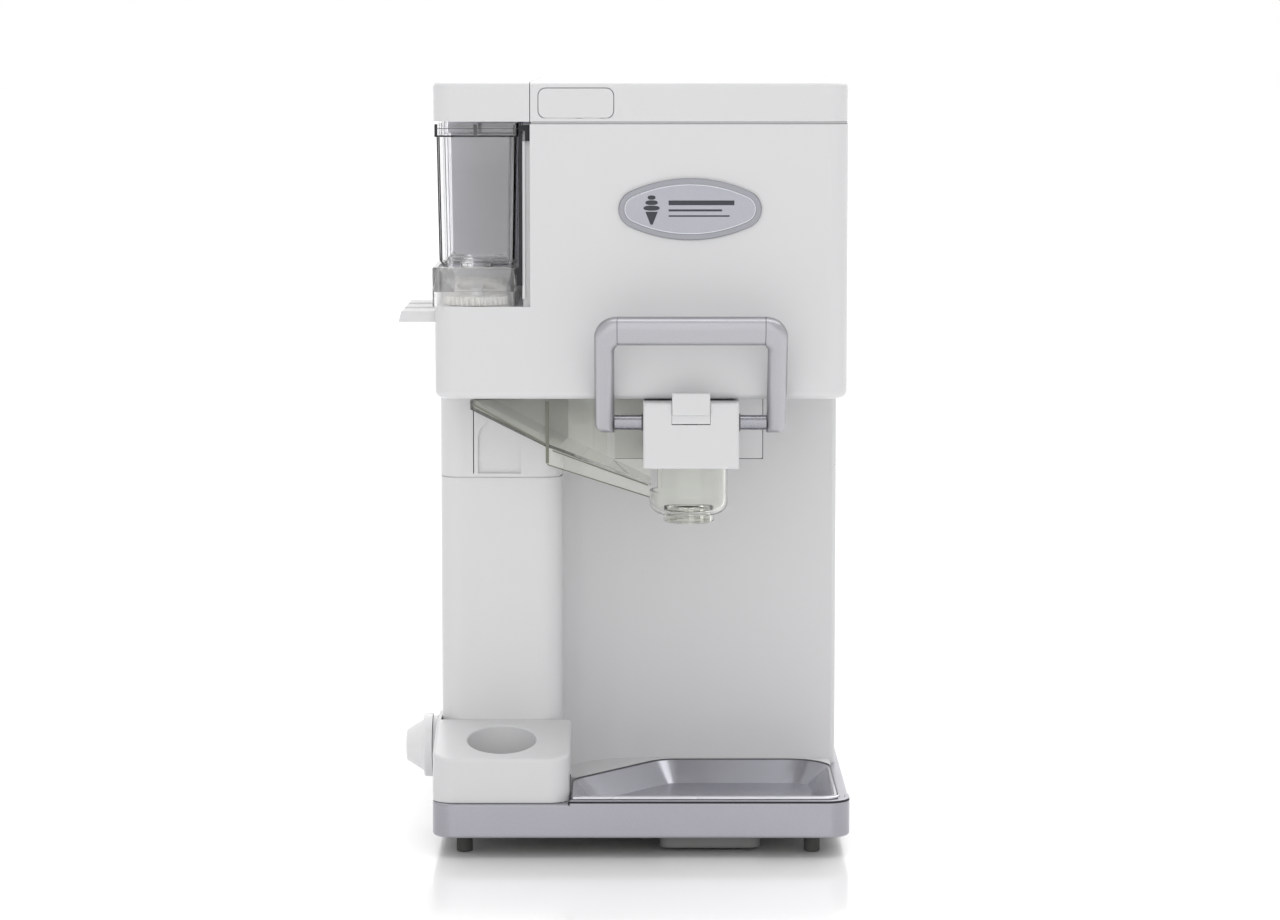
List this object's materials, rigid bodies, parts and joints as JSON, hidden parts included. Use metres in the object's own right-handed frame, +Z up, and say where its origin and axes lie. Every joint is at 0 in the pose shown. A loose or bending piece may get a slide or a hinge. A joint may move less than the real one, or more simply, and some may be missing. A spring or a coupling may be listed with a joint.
{
  "type": "soft-serve ice cream maker",
  "caption": "Worktop soft-serve ice cream maker: boxy white head with lids, clear mix-in containers, pull handle over a clear nozzle, cone holder, side dial and drip tray.",
  "frame": {"origin": "centre of the bottom of the bounding box, on the worktop plane", "axes": "+Z up, +Y from the front to the back, +X to the right seen from the front"},
  "size_m": [0.244, 0.305, 0.4175],
  "materials": {
    "housing_white": "glossy moulded white",
    "body_white": "smooth moulded white",
    "base_silver": "satin silver-lavender paint",
    "handle_silver": "satin silver paint",
    "badge_ring": "satin grey",
    "badge_face": "satin silver",
    "clear_plastic": "clear moulded plastic",
    "frosted_plastic": "frosted clear plastic",
    "tray_smoke": "glossy smoky grey",
    "bay_grey": "satin grey-lavender",
    "black_plastic": "textured dark plastic",
    "black_rubber": "dark rubber",
    "white_acetal": "natural white engineering plastic",
    "steel": "plain steel",
    "bronze": "sintered bronze",
    "liner_aluminium": "satin aluminium",
    "bowl_white": "smooth moulded white",
    "coolant": "sealed coolant gel"
  },
  "bodies": {
    "root": {"head_housing": "housing_white", "cone_holder": "housing_white", "dial_bezel": "housing_white", "dispenser_block": "housing_white", "tower_shell": "body_white", "tower_collar": "body_white", "rear_cover": "body_white", "nozzle_bracket": "body_white", "chute_carrier": "body_white", "drop_duct": "body_white", "base_shell": "base_silver", "badge_frame": "badge_ring", "badge_plate": "badge_face", "mixin_chute": "clear_plastic", "nozzle_cup": "clear_plastic", "star_tip": "clear_plastic", "metering_base": "frosted_plastic", "bay_back_panel": "bay_grey", "bottom_cover": "black_plastic", "dial_switch": "black_plastic", "drive_belt": "black_plastic", "cord_inlet": "black_plastic", "feet": "black_rubber", "spindle_seal": "black_rubber", "bay_seal": "black_rubber", "gearbox_plate": "white_acetal", "motor_can": "steel", "case_screws": "steel", "drive_screws": "steel", "lid_pins": "steel", "bushes": "bronze", "bowl_liner": "liner_aluminium", "bowl_shell": "bowl_white", "bowl_gel": "coolant"},
    "lid": {"main_lid": "housing_white", "button_spring": "steel"},
    "button": {"lid_button": "housing_white"},
    "cover": {"condiment_cover": "housing_white"},
    "dasher": {"spindle_gear": "white_acetal", "paddle": "white_acetal"},
    "counter": {"countershaft": "white_acetal"},
    "rotor": {"motor_shaft": "steel", "cooling_fan": "white_acetal"},
    "pinion": {"condiment_pinion": "white_acetal"},
    "wheel_1": {"metering_wheel_1": "white_acetal"},
    "wheel_2": {"metering_wheel_2": "white_acetal"},
    "wheel_3": {"metering_wheel_3": "white_acetal"},
    "box_1": {"container_1": "clear_plastic"},
    "box_2": {"container_2": "clear_plastic"},
    "box_3": {"container_3": "clear_plastic"},
    "key_1": {"lever_1": "housing_white"},
    "key_2": {"lever_2": "housing_white"},
    "key_3": {"lever_3": "housing_white"},
    "handle": {"handle_frame": "handle_silver", "handle_grip": "handle_silver", "valve_shaft": "steel"},
    "gate": {"valve_gate": "white_acetal"},
    "latch": {"release_latch": "housing_white"},
    "knob": {"dial": "housing_white"},
    "tray": {"drip_tray": "tray_smoke"}
  },
  "joints": [
    {"name": "lid_hinge", "type": "hinge", "parent": "root", "child": "lid", "pos_m": [0.03485, 0.14597, 0.3985], "axis": [-1, 0, 0], "range_deg": [0, 95]},
    {"name": "button_press", "type": "slide", "parent": "lid", "child": "button", "axis": [0, 1, 0], "range_m": [0, 0.002], "stiffness_N_per_m": 900, "springref_m": -0.001},
    {"name": "cover_hinge", "type": "hinge", "parent": "root", "child": "cover", "pos_m": [-0.07615, 0.14597, 0.3985], "axis": [-1, 0, 0], "range_deg": [0, 95]},
    {"name": "dasher_spin", "type": "hinge", "parent": "root", "child": "dasher", "pos_m": [0.03485, -0.03203, 0.3], "axis": [0, 0, 1], "continuous": true},
    {"name": "counter_spin", "type": "hinge", "parent": "root", "child": "counter", "pos_m": [0.03485, 0.00497, 0.26], "axis": [0, 0, 1], "continuous": true},
    {"name": "rotor_spin", "type": "hinge", "parent": "root", "child": "rotor", "pos_m": [0.03485, 0.03897, 0.26], "axis": [0, 0, 1], "continuous": true},
    {"name": "pinion_spin", "type": "hinge", "parent": "root", "child": "pinion", "pos_m": [-0.07915, -0.00753, 0.28], "axis": [0, 0, 1], "continuous": true},
    {"name": "wheel_1_spin", "type": "hinge", "parent": "root", "child": "wheel_1", "pos_m": [-0.07915, -0.09853, 0.3], "axis": [0, 0, 1], "continuous": true},
    {"name": "wheel_2_spin", "type": "hinge", "parent": "root", "child": "wheel_2", "pos_m": [-0.07915, -0.06453, 0.3], "axis": [0, 0, 1], "continuous": true},
    {"name": "wheel_3_spin", "type": "hinge", "parent": "root", "child": "wheel_3", "pos_m": [-0.07915, -0.03053, 0.3], "axis": [0, 0, 1], "continuous": true},
    {"name": "box_1_slide", "type": "slide", "parent": "root", "child": "box_1", "axis": [-1, 0, 0], "range_m": [0, 0.06]},
    {"name": "box_2_slide", "type": "slide", "parent": "root", "child": "box_2", "axis": [-1, 0, 0], "range_m": [0, 0.06]},
    {"name": "box_3_slide", "type": "slide", "parent": "root", "child": "box_3", "axis": [-1, 0, 0], "range_m": [0, 0.06]},
    {"name": "key_1_press", "type": "hinge", "parent": "root", "child": "key_1", "pos_m": [-0.09515, -0.09853, 0.29235], "axis": [0, -1, 0], "range_deg": [0, 12], "stiffness_Nm_per_rad": 0.05, "springref_deg": -5.73},
    {"name": "key_2_press", "type": "hinge", "parent": "root", "child": "key_2", "pos_m": [-0.09515, -0.06453, 0.29235], "axis": [0, -1, 0], "range_deg": [0, 12], "stiffness_Nm_per_rad": 0.05, "springref_deg": -5.73},
    {"name": "key_3_press", "type": "hinge", "parent": "root", "child": "key_3", "pos_m": [-0.09515, -0.03053, 0.29235], "axis": [0, -1, 0], "range_deg": [0, 12], "stiffness_Nm_per_rad": 0.05, "springref_deg": -5.73},
    {"name": "handle_swing", "type": "hinge", "parent": "root", "child": "handle", "pos_m": [0.03485, -0.12003, 0.2364], "axis": [1, 0, 0], "range_deg": [0, 55]},
    {"name": "gate_slide", "type": "slide", "parent": "root", "child": "gate", "axis": [0, 1, 0], "range_m": [0, 0.01155]},
    {"name": "latch_press", "type": "hinge", "parent": "root", "child": "latch", "pos_m": [0.03485, -0.13143, 0.2415], "axis": [1, 0, 0], "range_deg": [0, 8], "stiffness_Nm_per_rad": 0.02, "springref_deg": -2.86},
    {"name": "knob_turn", "type": "hinge", "parent": "root", "child": "knob", "pos_m": [-0.10715, -0.04503, 0.0484], "axis": [-1, 0, 0], "range_deg": [0, 90]},
    {"name": "tray_lift", "type": "slide", "parent": "root", "child": "tray", "axis": [0, 0, 1], "range_m": [0, 0.06]}
  ],
  "couplings": [
    {"joint": "counter_spin", "follows": "dasher_spin", "ratio": -2.7},
    {"joint": "rotor_spin", "follows": "dasher_spin", "ratio": 12.6},
    {"joint": "pinion_spin", "follows": "dasher_spin", "ratio": -2.7},
    {"joint": "wheel_3_spin", "follows": "dasher_spin", "ratio": 0.95294},
    {"joint": "wheel_2_spin", "follows": "dasher_spin", "ratio": -0.95294},
    {"joint": "wheel_1_spin", "follows": "dasher_spin", "ratio": 0.95294},
    {"joint": "gate_slide", "follows": "handle_swing", "m_per_rad": 0.012}
  ]
}
